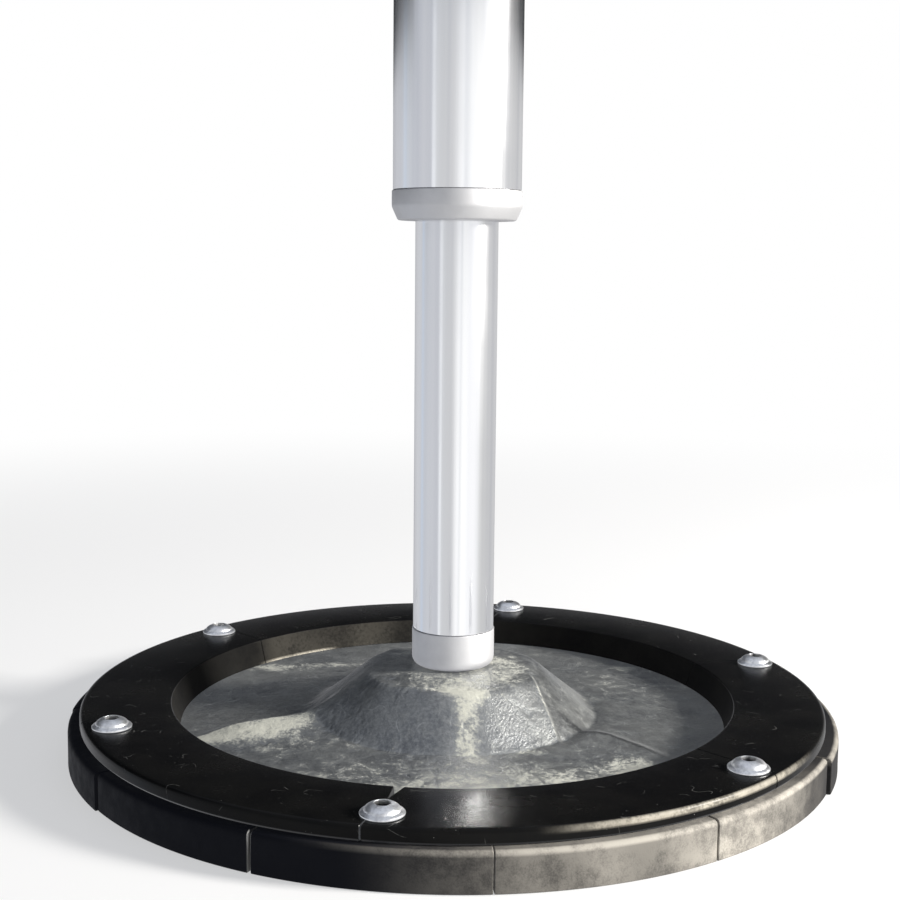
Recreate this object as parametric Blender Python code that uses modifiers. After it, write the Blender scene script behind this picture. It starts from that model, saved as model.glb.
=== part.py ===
"""Parasol base: an iron plate in a ring of rubber blocks, with a telescopic mast on its hub.

The plate lies on the lower ledges of twelve C-section rubber blocks. Six clamp ring segments
lie over the blocks, and six button head screws pull the ring, the blocks and the plate's rim
together. The mast's foot stands on the hub. A collar slides on the inner tube, and the outer
tube stands on the collar and turns on it.

Metres, +Z up. The origin is on the ground, on the mast's axis.
"""

import math

import bmesh
import bpy
from mathutils import Matrix

# Clearances
FIT_GAP = 0.0003
SLIDE_GAP = 0.0004
OVERCUT = 0.010

# Screws that hold the rings: six, on one circle, each a few degrees from its ring joint
SCREW_CIRCLE = 0.2030
SCREW_DIRECTIONS = tuple(math.radians(turn) for turn in (17.0, 78.4, 142.4, 203.2, 260.9, 318.2))
SCREW_RADIUS = 0.0049
SCREW_FLANGE_RADIUS = 0.01095
SCREW_FLANGE_THICKNESS = 0.0016
SCREW_DOME_RADIUS = 0.0090
SCREW_HEAD_HEIGHT = 0.0058
SCREW_SOCKET_RADIUS = 0.0035
SCREW_SOCKET_DEPTH = 0.0032
SCREW_BORE_RADIUS = 0.0055
NUT_CORNER_RADIUS = 0.0092
NUT_HEIGHT = 0.0047
NUT_BORE_RADIUS = 0.0052
WASHER_RADIUS = 0.0100
WASHER_THICKNESS = 0.0017
NUT_POCKET_RADIUS = 0.0118

# Plate
PLATE_RADIUS = 0.2130
PLATE_TOP = 0.0136
PLATE_RIM_BOTTOM = 0.0076
PLATE_STEP_RADIUS = 0.1870
PLATE_BOTTOM = 0.0020

# Hub: a cone on a wide low skirt, with a gently sloping top and a level seat for the mast's foot
SKIRT_RADIUS = 0.1370
HUB_BASE_RADIUS = 0.0850
HUB_BASE_Z = 0.0165
HUB_SHOULDER_RADIUS = 0.0520
HUB_SHOULDER_Z = 0.0425
HUB_TOP_RADIUS = 0.0290
HUB_TOP = 0.0445
HUB_CAVITY_RADIUS = 0.0460
HUB_CAVITY_TOP_RADIUS = 0.0300
HUB_CAVITY_TOP = 0.0300

# Ribs that run out from the hub's flank over the skirt
RIB_DIRECTIONS = (math.radians(-31.0), math.radians(85.0), math.radians(198.0))
RIB_START = 0.0740
RIB_END = 0.1480
RIB_START_Z = 0.0215
RIB_END_Z = 0.0142
RIB_START_WIDTH = 0.0140
RIB_END_WIDTH = 0.0080

# Rubber blocks: a C-section that grips the plate's rim
BLOCK_COUNT = 12
BLOCK_OUTER_RADIUS = 0.2234
BLOCK_TOP = 0.0206
BLOCK_TOP_ROUNDING = 0.0030
BLOCK_FOOT_CHAMFER = 0.0008
BLOCK_INNER_RADIUS = 0.1895
BLOCK_GROOVE_RADIUS = 0.2141
BLOCK_JOINT = 0.0009
BLOCK_FACETS = 5
FIRST_BLOCK = math.radians(20.0)
# Blocks that don't sit true: index from the first block, outward shift, turn
BLOCK_SHIFT = {5: 0.0022, 6: 0.0014, 11: 0.0022}
BLOCK_TURN = {7: math.radians(-0.10), 8: math.radians(0.10)}

# Clamp ring segments: each runs from near one screw to near the next
SEGMENT_COUNT = 6
SEGMENT_PITCH = 2.0 * math.pi / SEGMENT_COUNT
FIRST_SEAM = math.radians(20.0)
RING_INNER_RADIUS = 0.1665
RING_FOOT_RADIUS = 0.1612
RING_OUTER_RADIUS = 0.2180
RING_STEP_RADIUS = 0.1885
RING_TOP = 0.0290
RING_EDGE_ROUNDING = 0.0028
RING_INNER_CHAMFER = 0.0007
RING_UNDERCUT = 0.0014
RING_JOINT = 0.0006
RING_FACETS = 10
SEAM_LEAN = math.radians(2.2)
NOTCH_SEAM = 4
NOTCH_DEPTH = 0.0145
NOTCH_WIDTH = 0.0063

# Mast's foot and the bolt that holds it down
FOOT_RADIUS = 0.0245
FOOT_TOP = 0.0670
FOOT_ROUNDING = 0.0055
SPIGOT_LENGTH = 0.0300
SPIGOT_CHAMFER = 0.0015
CENTRE_BOLT_RADIUS = 0.0078
CENTRE_BORE_RADIUS = 0.0083
CENTRE_HEAD_CORNER_RADIUS = 0.0137
CENTRE_HEAD_HEIGHT = 0.0100
CENTRE_WASHER_RADIUS = 0.0190
CENTRE_WASHER_THICKNESS = 0.0030
CENTRE_NUT_HEIGHT = 0.0128
CENTRE_BOLT_OVERHANG = 0.0060

# Tubes
INNER_TUBE_RADIUS = 0.0240
INNER_TUBE_BORE = 0.0220
INNER_TUBE_TOP = 0.4150
OUTER_TUBE_RADIUS = 0.0371
OUTER_TUBE_BORE = 0.0350
OUTER_TUBE_TOP = 0.7000

# Guide on the inner tube's top end
GUIDE_FLANGE_RADIUS = 0.0345
GUIDE_FLANGE_THICKNESS = 0.0120
GUIDE_BORE = 0.0150

# Collar that slides on the inner tube and carries the outer tube
COLLAR_BOTTOM = 0.3070
COLLAR_TOP = 0.3240
COLLAR_RADIUS = 0.0377
COLLAR_CHAMFER_WIDTH = 0.0035
COLLAR_CHAMFER_HEIGHT = 0.0075
COLLAR_SPIGOT_RADIUS = 0.0345
COLLAR_SPIGOT_TOP = 0.3450
COLLAR_BORE = 0.0262
LINER_RADIUS = 0.0259
LINER_BORE = INNER_TUBE_RADIUS + SLIDE_GAP
LINER_LIP = 0.0020

# Head on the outer tube's top end, where the rest of the mast stands
HEAD_THICKNESS = 0.0080
HEAD_PLUG_RADIUS = 0.0346
HEAD_PLUG_LENGTH = 0.0340
HEAD_WALL = 0.0040

# Facets of turned pieces
PLATE_FACETS = 60
TUBE_FACETS = 36
SMALL_FACETS = 16
ROUNDING_STEPS = 4

# Colour (linear), roughness and metallic value of each finish
FINISHES = {
    "cast_iron": ((0.23, 0.24, 0.24), 0.55, 0.85),
    "rubber": ((0.020, 0.021, 0.024), 0.60, 0.0),
    "ring_plastic": ((0.010, 0.010, 0.010), 0.32, 0.0),
    "zinc": ((0.66, 0.68, 0.72), 0.22, 1.0),
    "aluminium": ((0.80, 0.81, 0.84), 0.20, 1.0),
    "pale_plastic": ((0.62, 0.62, 0.64), 0.35, 0.0),
    "nylon": ((0.75, 0.74, 0.70), 0.45, 0.0),
}


def clear_scene():
    """Remove whatever the file opened with."""
    for thing in list(bpy.data.objects):
        bpy.data.objects.remove(thing, do_unlink=True)


def new_collection(name):
    """Collection linked to the scene."""
    made = bpy.data.collections.new(name)
    bpy.context.scene.collection.children.link(made)
    return made


def give_material(piece, finish):
    """The piece's own Principled material."""
    colour, roughness, metallic = FINISHES[finish]
    made = bpy.data.materials.new(piece.name + "_" + finish)
    made.use_nodes = True
    shader = made.node_tree.nodes["Principled BSDF"]
    shader.inputs["Base Color"].default_value = (*colour, 1.0)
    shader.inputs["Roughness"].default_value = roughness
    shader.inputs["Metallic"].default_value = metallic
    piece.data.materials.clear()
    piece.data.materials.append(made)


def add_object(name, mesh, collection):
    """Object for a mesh, shaded smooth apart from its sharp edges."""
    mesh.shade_smooth()
    mesh.set_sharp_from_angle(angle=math.radians(30.0))
    piece = bpy.data.objects.new(name, mesh)
    collection.objects.link(piece)
    return piece


def finished_mesh(shape, name):
    """Mesh made from a bmesh, with its faces pointing out."""
    bmesh.ops.recalc_face_normals(shape, faces=shape.faces)
    mesh = bpy.data.meshes.new(name)
    shape.to_mesh(mesh)
    shape.free()
    return mesh


def arc(centre, radius, start_deg, end_deg, steps=ROUNDING_STEPS):
    """Points on a circular arc in the radius-height plane."""
    points = []
    for step in range(steps + 1):
        angle = math.radians(start_deg + (end_deg - start_deg) * step / steps)
        points.append((centre[0] + radius * math.cos(angle), centre[1] + radius * math.sin(angle)))
    return points


def turned(name, outline, collection, facets=TUBE_FACETS, closed=True):
    """Solid of revolution about Z. The outline runs down its outer side, top to bottom."""
    mesh = bpy.data.meshes.new(name)
    corners = [(radius, 0.0, height) for radius, height in outline]
    edges = [(i, i + 1) for i in range(len(corners) - 1)]
    if closed:
        edges.append((len(corners) - 1, 0))
    mesh.from_pydata(corners, edges, [])
    piece = bpy.data.objects.new(name, mesh)
    collection.objects.link(piece)
    screw = piece.modifiers.new("turn", "SCREW")
    screw.axis = "Z"
    screw.angle = 2.0 * math.pi
    screw.steps = facets
    screw.render_steps = facets
    screw.use_smooth_shade = True
    screw.use_merge_vertices = True
    screw.merge_threshold = 0.00001
    return piece


def tube_outline(outer, bore, bottom, top):
    """Outline of a plain tube."""
    return [(outer, top), (outer, bottom), (bore, bottom), (bore, top)]


def prism_mesh(name, radius, bottom, top, sides=SMALL_FACETS, centres=((0.0, 0.0),), top_radius=None):
    """One upright prism or frustum at each centre."""
    shape = bmesh.new()
    for x, y in centres:
        place = Matrix.Translation((x, y, 0.5 * (bottom + top)))
        bmesh.ops.create_cone(
            shape,
            cap_ends=True,
            segments=sides,
            radius1=radius,
            radius2=radius if top_radius is None else top_radius,
            depth=top - bottom,
            matrix=place,
        )
    return finished_mesh(shape, name)


def tapered_bar_mesh(name, near, far):
    """Bar along +X. Each end is (distance, width, bottom, top)."""
    shape = bmesh.new()
    bmesh.ops.create_cube(shape, size=1.0)
    for corner in shape.verts:
        distance, width, bottom, top = near if corner.co.x < 0.0 else far
        corner.co.x = distance
        corner.co.y = math.copysign(0.5 * width, corner.co.y)
        corner.co.z = bottom if corner.co.z < 0.0 else top
    return finished_mesh(shape, name)


def sector_mesh(name, outline, sweep, facets, lean=0.0, pivot_radius=0.0):
    """Outline turned about Z through a sector centred on +X. The ends may lean off the radius."""
    shape = bmesh.new()
    corners = [shape.verts.new((radius, 0.0, height)) for radius, height in outline]
    start = shape.faces.new(corners)
    bmesh.ops.rotate(shape, verts=corners, cent=(0.0, 0.0, 0.0), matrix=Matrix.Rotation(-0.5 * sweep, 3, "Z"))
    bmesh.ops.spin(
        shape,
        geom=[start],
        cent=(0.0, 0.0, 0.0),
        axis=(0.0, 0.0, 1.0),
        dvec=(0.0, 0.0, 0.0),
        angle=sweep,
        steps=facets,
        use_duplicate=False,
    )
    for corner in shape.verts:
        radius = math.hypot(corner.co.x, corner.co.y)
        corner.co = Matrix.Rotation(-lean * (radius - pivot_radius), 3, "Z") @ corner.co
    return finished_mesh(shape, name)


def on_circle(radius, angle):
    """Point on a circle about Z."""
    return radius * math.cos(angle), radius * math.sin(angle)


def combine(piece, other, operation):
    """Boolean modifier."""
    made = piece.modifiers.new(other.name, "BOOLEAN")
    made.operation = operation
    made.solver = "EXACT"
    made.object = other


def applied(piece):
    """Replace a piece by the mesh that its modifiers give."""
    seen = piece.evaluated_get(bpy.context.evaluated_depsgraph_get())
    mesh = bpy.data.meshes.new_from_object(seen)
    mesh.name = piece.name
    bpy.data.objects.remove(piece, do_unlink=True)
    return mesh


def cutter(name, mesh, cutters):
    """Helper object that only cuts or joins other pieces."""
    made = bpy.data.objects.new(name, mesh)
    cutters.objects.link(made)
    made.hide_render = True
    made.display_type = "WIRE"
    return made


def make_base_plate(parts, cutters, screw_bores):
    """Iron plate: a disc with a skirted hub and three ribs, hollow under the hub."""
    outline = [
        (0.0, HUB_TOP),
        (HUB_TOP_RADIUS, HUB_TOP),
        (HUB_SHOULDER_RADIUS, HUB_SHOULDER_Z),
        (HUB_BASE_RADIUS, HUB_BASE_Z),
        (SKIRT_RADIUS, PLATE_TOP),
        (PLATE_RADIUS, PLATE_TOP),
        (PLATE_RADIUS, PLATE_RIM_BOTTOM),
        (PLATE_STEP_RADIUS, PLATE_RIM_BOTTOM),
        (PLATE_STEP_RADIUS, PLATE_BOTTOM),
        (0.0, PLATE_BOTTOM),
    ]
    plate = turned("base_plate", outline, parts, facets=PLATE_FACETS, closed=False)

    rib_bottom = 0.5 * (PLATE_BOTTOM + PLATE_TOP)
    near = (RIB_START, RIB_START_WIDTH, rib_bottom, RIB_START_Z)
    far = (RIB_END, RIB_END_WIDTH, rib_bottom, RIB_END_Z)
    rib_mesh = tapered_bar_mesh("rib", near, far)
    for index, direction in enumerate(RIB_DIRECTIONS):
        rib = cutter(f"rib_{index + 1}", rib_mesh, cutters)
        rib.rotation_euler.z = direction
        combine(plate, rib, "UNION")

    cavity = prism_mesh(
        "hub_cavity",
        HUB_CAVITY_RADIUS,
        PLATE_BOTTOM - OVERCUT,
        HUB_CAVITY_TOP,
        sides=TUBE_FACETS,
        top_radius=HUB_CAVITY_TOP_RADIUS,
    )
    combine(plate, cutter("hub_cavity", cavity, cutters), "DIFFERENCE")
    bore = prism_mesh("hub_bore", CENTRE_BORE_RADIUS, PLATE_BOTTOM, HUB_TOP + OVERCUT)
    combine(plate, cutter("hub_bore", bore, cutters), "DIFFERENCE")
    combine(plate, screw_bores, "DIFFERENCE")
    give_material(plate, "cast_iron")


def make_blocks(parts, screw_bores, nut_pockets):
    """Twelve rubber blocks. Every second one sits under a screw and has its hole."""
    ledge_top = PLATE_RIM_BOTTOM - FIT_GAP
    lip_bottom = PLATE_TOP + FIT_GAP
    rounding_centre = (BLOCK_OUTER_RADIUS - BLOCK_TOP_ROUNDING, BLOCK_TOP - BLOCK_TOP_ROUNDING)
    outline = [
        (BLOCK_INNER_RADIUS, BLOCK_TOP),
        *reversed(arc(rounding_centre, BLOCK_TOP_ROUNDING, 0.0, 90.0)),
        (BLOCK_OUTER_RADIUS, BLOCK_FOOT_CHAMFER),
        (BLOCK_OUTER_RADIUS - BLOCK_FOOT_CHAMFER, 0.0),
        (BLOCK_INNER_RADIUS, 0.0),
        (BLOCK_INNER_RADIUS, ledge_top),
        (BLOCK_GROOVE_RADIUS, ledge_top),
        (BLOCK_GROOVE_RADIUS, lip_bottom),
        (BLOCK_INNER_RADIUS, lip_bottom),
    ]
    pitch = 2.0 * math.pi / BLOCK_COUNT
    sweep = pitch - BLOCK_JOINT / BLOCK_OUTER_RADIUS
    mesh = sector_mesh("edge_block", outline, sweep, BLOCK_FACETS)
    for index in range(BLOCK_COUNT):
        block = add_object(f"edge_block_{index + 1:02d}", mesh.copy(), parts)
        middle = FIRST_BLOCK + pitch * index
        shift = BLOCK_SHIFT.get(index, 0.0)
        block.rotation_euler.z = middle + BLOCK_TURN.get(index, 0.0)
        block.location = (*on_circle(shift, middle), 0.0)
        if index % 2 == 0:
            combine(block, screw_bores, "DIFFERENCE")
            combine(block, nut_pockets, "DIFFERENCE")
        give_material(block, "rubber")


def make_clamp_ring(parts, cutters, screw_bores):
    """Six ring segments with a leaning inner wall, that meet near the screws, with one opened joint."""
    edge = (RING_OUTER_RADIUS - RING_EDGE_ROUNDING, RING_TOP - RING_EDGE_ROUNDING)
    over_blocks = BLOCK_TOP + FIT_GAP
    outline = [
        (RING_INNER_RADIUS, RING_TOP - RING_INNER_CHAMFER),
        (RING_INNER_RADIUS + RING_INNER_CHAMFER, RING_TOP),
        *reversed(arc(edge, RING_EDGE_ROUNDING, 0.0, 90.0)),
        (RING_OUTER_RADIUS, over_blocks + RING_UNDERCUT),
        (RING_OUTER_RADIUS - RING_UNDERCUT, over_blocks),
        (RING_STEP_RADIUS, over_blocks),
        (RING_STEP_RADIUS, PLATE_TOP + FIT_GAP),
        (RING_FOOT_RADIUS, PLATE_TOP + FIT_GAP),
    ]
    width = RING_OUTER_RADIUS - RING_INNER_RADIUS
    sweep = SEGMENT_PITCH - RING_JOINT / RING_INNER_RADIUS
    middle_radius = 0.5 * (RING_INNER_RADIUS + RING_OUTER_RADIUS)
    mesh = sector_mesh("clamp_ring", outline, sweep, RING_FACETS, SEAM_LEAN / width, middle_radius)

    near = (RING_FOOT_RADIUS - FIT_GAP, NOTCH_WIDTH, PLATE_TOP, RING_TOP + OVERCUT)
    far = (RING_INNER_RADIUS + NOTCH_DEPTH, FIT_GAP, PLATE_TOP, RING_TOP + OVERCUT)
    notch = cutter("joint_notch", tapered_bar_mesh("joint_notch", near, far), cutters)
    seam_turn = SEAM_LEAN * (middle_radius - RING_INNER_RADIUS) / width
    notch.rotation_euler.z = FIRST_SEAM + SEGMENT_PITCH * NOTCH_SEAM + seam_turn

    for index in range(SEGMENT_COUNT):
        segment = add_object(f"clamp_ring_{index + 1}", mesh.copy(), parts)
        segment.rotation_euler.z = FIRST_SEAM + SEGMENT_PITCH * (index + 0.5)
        combine(segment, screw_bores, "DIFFERENCE")
        if index in (NOTCH_SEAM - 1, NOTCH_SEAM):
            combine(segment, notch, "DIFFERENCE")
        give_material(segment, "ring_plastic")


def place_on_screws(name, mesh, height, parts, finish):
    """One copy of a fastener at each of the ring's screws."""
    for index, direction in enumerate(SCREW_DIRECTIONS):
        copy = add_object(f"{name}_{index + 1}", mesh.copy(), parts)
        copy.location = (*on_circle(SCREW_CIRCLE, direction), height)
        copy.rotation_euler.z = direction
        give_material(copy, finish)


def make_ring_fasteners(parts, cutters):
    """Button head screws with a flange, and the washer and low nut under the plate's rim."""
    washer_top = PLATE_RIM_BOTTOM - FIT_GAP
    nut_top = washer_top - WASHER_THICKNESS - FIT_GAP
    nut_bottom = nut_top - NUT_HEIGHT
    dome_height = SCREW_HEAD_HEIGHT - SCREW_FLANGE_THICKNESS
    dome_points = []
    for step in range(ROUNDING_STEPS):
        angle = math.radians(90.0 - 70.0 * (step + 1) / ROUNDING_STEPS)
        dome_points.append(
            (SCREW_DOME_RADIUS * math.cos(angle), SCREW_FLANGE_THICKNESS + dome_height * math.sin(angle))
        )
    head = [
        (0.0, SCREW_HEAD_HEIGHT),
        (SCREW_SOCKET_RADIUS + FIT_GAP, SCREW_HEAD_HEIGHT),
        *[point for point in dome_points if point[0] > SCREW_SOCKET_RADIUS + 2.0 * FIT_GAP],
        (SCREW_FLANGE_RADIUS, 0.5 * SCREW_FLANGE_THICKNESS),
        (SCREW_FLANGE_RADIUS, 0.0),
        (SCREW_RADIUS, 0.0),
        (SCREW_RADIUS, nut_bottom - RING_TOP),
        (0.0, nut_bottom - RING_TOP),
    ]
    screw = turned("ring_screw", head, cutters, facets=SMALL_FACETS, closed=False)
    socket = prism_mesh(
        "screw_socket",
        SCREW_SOCKET_RADIUS,
        SCREW_HEAD_HEIGHT - SCREW_SOCKET_DEPTH,
        SCREW_HEAD_HEIGHT + OVERCUT,
        sides=6,
    )
    socket_cutter = cutter("screw_socket", socket, cutters)
    combine(screw, socket_cutter, "DIFFERENCE")
    place_on_screws("ring_screw", applied(screw), RING_TOP + FIT_GAP, parts, "zinc")

    ring = tube_outline(WASHER_RADIUS, NUT_BORE_RADIUS, 0.0, WASHER_THICKNESS)
    washer = turned("ring_washer", ring, cutters, SMALL_FACETS)
    place_on_screws("ring_washer", applied(washer), washer_top - WASHER_THICKNESS, parts, "zinc")
    nut = nut_mesh("ring_nut", cutters, NUT_CORNER_RADIUS, NUT_BORE_RADIUS, NUT_HEIGHT)
    place_on_screws("ring_nut", nut, nut_bottom, parts, "zinc")


def nut_mesh(name, cutters, corner_radius, bore_radius, height):
    """Hexagon nut standing on its origin."""
    nut = cutter(name, prism_mesh(name, corner_radius, 0.0, height, sides=6), cutters)
    bore = prism_mesh(name + "_bore", bore_radius, -OVERCUT, height + OVERCUT)
    combine(nut, cutter(name + "_bore", bore, cutters), "DIFFERENCE")
    return applied(nut)


def make_mast_fixing(parts, cutters):
    """Foot of the mast, and the bolt, washer and nut that hold it on the hub."""
    foot_bottom = HUB_TOP + FIT_GAP
    spigot_radius = INNER_TUBE_BORE - SLIDE_GAP
    spigot_top = FOOT_TOP + SPIGOT_LENGTH
    rounding_centre = (FOOT_RADIUS - FOOT_ROUNDING, foot_bottom + FOOT_ROUNDING)
    outline = [
        (CENTRE_BORE_RADIUS, spigot_top),
        (spigot_radius - SPIGOT_CHAMFER, spigot_top),
        (spigot_radius, spigot_top - SPIGOT_CHAMFER),
        (spigot_radius, FOOT_TOP),
        (FOOT_RADIUS, FOOT_TOP),
        *arc(rounding_centre, FOOT_ROUNDING, 0.0, -90.0),
        (CENTRE_BORE_RADIUS, foot_bottom),
    ]
    foot = turned("mast_foot", outline, parts)
    give_material(foot, "pale_plastic")

    washer_top = HUB_CAVITY_TOP - FIT_GAP
    washer_bottom = washer_top - CENTRE_WASHER_THICKNESS
    ring = tube_outline(CENTRE_WASHER_RADIUS, CENTRE_BORE_RADIUS, washer_bottom, washer_top)
    give_material(turned("centre_washer", ring, parts, SMALL_FACETS), "zinc")

    nut_bottom = spigot_top + FIT_GAP
    nut_top = nut_bottom + CENTRE_NUT_HEIGHT
    head_top = washer_bottom - FIT_GAP
    head_bottom = head_top - CENTRE_HEAD_HEIGHT
    head = prism_mesh("centre_bolt", CENTRE_HEAD_CORNER_RADIUS, head_bottom, head_top, sides=6)
    bolt = add_object("centre_bolt", head, parts)
    shank_bottom = head_top - 0.5 * CENTRE_HEAD_HEIGHT
    shank = prism_mesh("centre_shank", CENTRE_BOLT_RADIUS, shank_bottom, nut_top + CENTRE_BOLT_OVERHANG)
    combine(bolt, cutter("centre_shank", shank, cutters), "UNION")
    give_material(bolt, "zinc")

    size = (CENTRE_HEAD_CORNER_RADIUS, CENTRE_BORE_RADIUS, CENTRE_NUT_HEIGHT)
    nut = add_object("centre_nut", nut_mesh("centre_nut", cutters, *size), parts)
    nut.location.z = nut_bottom
    give_material(nut, "zinc")


def make_inner_tube(parts):
    """Tube that stands on the foot, and the guide on its top end."""
    tube = tube_outline(INNER_TUBE_RADIUS, INNER_TUBE_BORE, FOOT_TOP + FIT_GAP, INNER_TUBE_TOP)
    give_material(turned("inner_tube", tube, parts), "aluminium")

    plug_radius = INNER_TUBE_BORE - SLIDE_GAP
    flange_bottom = INNER_TUBE_TOP + FIT_GAP
    flange_top = flange_bottom + GUIDE_FLANGE_THICKNESS
    guide = [
        (GUIDE_BORE, flange_top),
        (GUIDE_FLANGE_RADIUS - SPIGOT_CHAMFER, flange_top),
        (GUIDE_FLANGE_RADIUS, flange_top - SPIGOT_CHAMFER),
        (GUIDE_FLANGE_RADIUS, flange_bottom),
        (plug_radius, flange_bottom),
        (plug_radius, INNER_TUBE_TOP - SPIGOT_LENGTH),
        (GUIDE_BORE, INNER_TUBE_TOP - SPIGOT_LENGTH),
    ]
    give_material(turned("top_guide", guide, parts), "nylon")


def make_collar(parts):
    """Collar with a spigot for the outer tube, and the liner that grips the inner tube."""
    outline = [
        (COLLAR_BORE, COLLAR_SPIGOT_TOP),
        (COLLAR_SPIGOT_RADIUS - SPIGOT_CHAMFER, COLLAR_SPIGOT_TOP),
        (COLLAR_SPIGOT_RADIUS, COLLAR_SPIGOT_TOP - SPIGOT_CHAMFER),
        (COLLAR_SPIGOT_RADIUS, COLLAR_TOP),
        (COLLAR_RADIUS, COLLAR_TOP),
        (COLLAR_RADIUS, COLLAR_BOTTOM + COLLAR_CHAMFER_HEIGHT),
        (COLLAR_RADIUS - COLLAR_CHAMFER_WIDTH, COLLAR_BOTTOM),
        (LINER_BORE, COLLAR_BOTTOM),
        (LINER_BORE, COLLAR_BOTTOM + LINER_LIP),
        (COLLAR_BORE, COLLAR_BOTTOM + LINER_LIP),
    ]
    give_material(turned("mast_collar", outline, parts), "pale_plastic")
    liner = tube_outline(LINER_RADIUS, LINER_BORE, COLLAR_BOTTOM + LINER_LIP + FIT_GAP, COLLAR_SPIGOT_TOP)
    give_material(turned("collar_liner", liner, parts), "nylon")


def make_outer_tube(parts):
    """Tube that stands on the collar, and the head on its top end."""
    tube = tube_outline(OUTER_TUBE_RADIUS, OUTER_TUBE_BORE, COLLAR_TOP + FIT_GAP, OUTER_TUBE_TOP)
    give_material(turned("outer_tube", tube, parts), "aluminium")
    head_bottom = OUTER_TUBE_TOP + FIT_GAP
    head_top = head_bottom + HEAD_THICKNESS
    plug_bottom = OUTER_TUBE_TOP - HEAD_PLUG_LENGTH
    plug_bore = HEAD_PLUG_RADIUS - HEAD_WALL
    head = [
        (0.0, head_top),
        (COLLAR_RADIUS - SPIGOT_CHAMFER, head_top),
        (COLLAR_RADIUS, head_top - SPIGOT_CHAMFER),
        (COLLAR_RADIUS, head_bottom),
        (HEAD_PLUG_RADIUS, head_bottom),
        (HEAD_PLUG_RADIUS, plug_bottom),
        (plug_bore, plug_bottom),
        (plug_bore, head_bottom),
        (0.0, head_bottom),
    ]
    give_material(turned("mast_head", head, parts, closed=False), "pale_plastic")


def main():
    """Build the whole object."""
    clear_scene()
    parts = new_collection("parasol_base")
    cutters = new_collection("cutters")
    centres = [on_circle(SCREW_CIRCLE, direction) for direction in SCREW_DIRECTIONS]
    bores = prism_mesh("screw_bores", SCREW_BORE_RADIUS, -OVERCUT, RING_TOP + OVERCUT, centres=centres)
    pockets = prism_mesh(
        "nut_pockets", NUT_POCKET_RADIUS, -OVERCUT, 0.5 * (PLATE_RIM_BOTTOM + PLATE_TOP), centres=centres
    )
    screw_bores = cutter("screw_bores", bores, cutters)
    nut_pockets = cutter("nut_pockets", pockets, cutters)
    make_base_plate(parts, cutters, screw_bores)
    make_blocks(parts, screw_bores, nut_pockets)
    make_clamp_ring(parts, cutters, screw_bores)
    make_ring_fasteners(parts, cutters)
    make_mast_fixing(parts, cutters)
    make_inner_tube(parts)
    make_collar(parts)
    make_outer_tube(parts)


main()
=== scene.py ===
"""Looks of the parasol base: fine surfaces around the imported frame, materials, light and camera.

Every piece is placed from the frame. The iron plate, the rubber blocks, the clamp ring, the
screws and the turned pieces of the mast are made again with fine surfaces. The washers, nuts,
the centre bolt and the collar's liner keep their CAD shapes and get better materials.
Metres, +Z up, the same frame as the CAD.
"""

import math

import bmesh
import bpy
import numpy as np
from mathutils import Matrix, Vector


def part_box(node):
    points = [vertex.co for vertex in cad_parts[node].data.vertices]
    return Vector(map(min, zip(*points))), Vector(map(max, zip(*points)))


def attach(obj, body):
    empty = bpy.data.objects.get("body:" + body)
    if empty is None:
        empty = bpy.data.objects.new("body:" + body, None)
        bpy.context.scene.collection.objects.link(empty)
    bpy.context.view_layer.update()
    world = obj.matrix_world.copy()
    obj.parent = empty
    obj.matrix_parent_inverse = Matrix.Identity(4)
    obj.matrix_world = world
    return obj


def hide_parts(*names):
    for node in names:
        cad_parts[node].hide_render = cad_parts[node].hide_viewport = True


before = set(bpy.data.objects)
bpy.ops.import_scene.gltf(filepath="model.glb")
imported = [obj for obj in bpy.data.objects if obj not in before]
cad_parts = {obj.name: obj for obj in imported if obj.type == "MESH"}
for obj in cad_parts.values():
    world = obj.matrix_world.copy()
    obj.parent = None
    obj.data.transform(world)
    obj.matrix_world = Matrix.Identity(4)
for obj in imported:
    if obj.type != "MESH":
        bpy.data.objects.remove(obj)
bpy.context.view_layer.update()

SEED = 849
FULL_TURN = 2.0 * math.pi

# Fineness
TUBE_COLUMNS = 160
SCREW_COLUMNS = 64
PLATE_COLUMNS = 900
PLATE_ROW_STEP = 0.0008
RING_COLUMNS = 130
BLOCK_COLUMNS = 72
EASE_STEPS = 4
SHARP_ANGLE = math.radians(38.0)

# Hub form, as the CAD plate has it
SEAT_RADIUS = 0.0265
HUB_PROFILE_RADII = (0.0, 0.0290, 0.0520, 0.0850, 0.1370, 0.2130)
HUB_SHOULDER_Z = 0.0425
HUB_BASE_Z = 0.0165
HUB_SOFTENING = 0.0022
CAVITY_RADIUS = 0.0460
CAVITY_TOP_RADIUS = 0.0300
CAVITY_TOP = 0.0300
RIM_BOTTOM = 0.0076
RIM_STEP_RADIUS = 0.1870
RIM_EASE = 0.0006
# Ribs: direction, height, which side is steep, and how the crest bends, as (along, across)
RIBS = (
    (math.radians(-31.0), 0.0022, 1.0, ((0.075, -0.002), (0.102, 0.003), (0.124, -0.003), (0.150, -0.010))),
    (math.radians(85.0), 0.0026, 1.0, ((0.075, 0.0), (0.160, 0.004))),
    (math.radians(198.0), 0.0052, -1.0, ((0.075, -0.002), (0.101, 0.000), (0.144, 0.001), (0.158, 0.004))),
)

# Gap between touching pieces
FIT_GAP = 0.0003

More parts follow.
